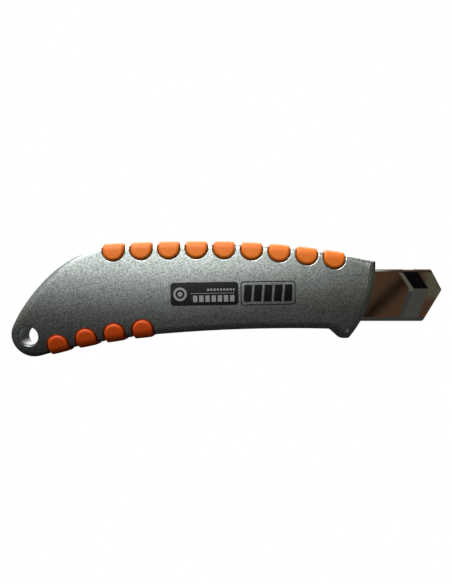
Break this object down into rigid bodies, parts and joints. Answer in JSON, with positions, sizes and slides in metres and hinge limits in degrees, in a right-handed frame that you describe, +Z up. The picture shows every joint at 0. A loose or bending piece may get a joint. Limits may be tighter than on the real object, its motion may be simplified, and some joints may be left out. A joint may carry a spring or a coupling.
{
  "type": "snap-off utility knife",
  "caption": "Auto-lock utility knife: two-shell die-cast body with rubber grip pads, polished sheet-steel blade channel and a sliding snap-off blade",
  "frame": {"origin": "axis of the lanyard hole on the parting plane between the two shells", "axes": "+X forward along the blade channel, +Z up to the spine of the handle, +Y to the slider side (the knife's left)"},
  "size_m": [0.1637, 0.0214, 0.044],
  "materials": {
    "body_paint": "silver-grey metallic enamel with fine sparkle",
    "grip_rubber": "soft orange rubber, matte to satin",
    "guide_steel": "bright polished stainless sheet",
    "blade_steel": "ground carbon steel",
    "zinc_plate": "bright zinc plating",
    "black_plastic": "black moulded plastic",
    "spring_steel": "tempered spring steel",
    "black_steel": "black oxide"
  },
  "bodies": {
    "handle": {"right_shell": "body_paint", "left_shell": "body_paint", "top_grip": "grip_rubber", "bottom_grip": "grip_rubber", "blade_guide": "guide_steel", "shell_screws": "black_steel", "dowel_pins": "zinc_plate", "guide_pins": "zinc_plate"},
    "carriage": {"blade_carrier": "zinc_plate", "blade_stud": "zinc_plate", "slide_saddle": "black_plastic", "saddle_screws": "zinc_plate", "snap_blade": "blade_steel", "button_spring": "spring_steel", "button_pins": "zinc_plate", "pawl_pivot_pin": "zinc_plate", "pawl_spring": "spring_steel"},
    "button": {"thumb_button": "black_plastic", "button_pad": "grip_rubber"},
    "pawl": {"lock_pawl": "spring_steel"}
  },
  "joints": [
    {"name": "blade_slide", "type": "slide", "parent": "handle", "child": "carriage", "axis": [1, 0, 0], "range_m": [0, 0.072]},
    {"name": "button_press", "type": "slide", "parent": "carriage", "child": "button", "axis": [0, -1, 0], "range_m": [0, 0.0009], "stiffness_N_per_m": 600, "springref_m": -0.001, "deforming": ["button_spring"]},
    {"name": "pawl_rock", "type": "hinge", "parent": "carriage", "child": "pawl", "pos_m": [0.0388, 0.0036, 0.0218], "axis": [0, 0, 1], "range_deg": [0, 6.9], "deforming": ["pawl_spring"]}
  ],
  "couplings": [
    {"joint": "pawl_rock", "follows": "button_press", "rad_per_m": 131.58}
  ]
}
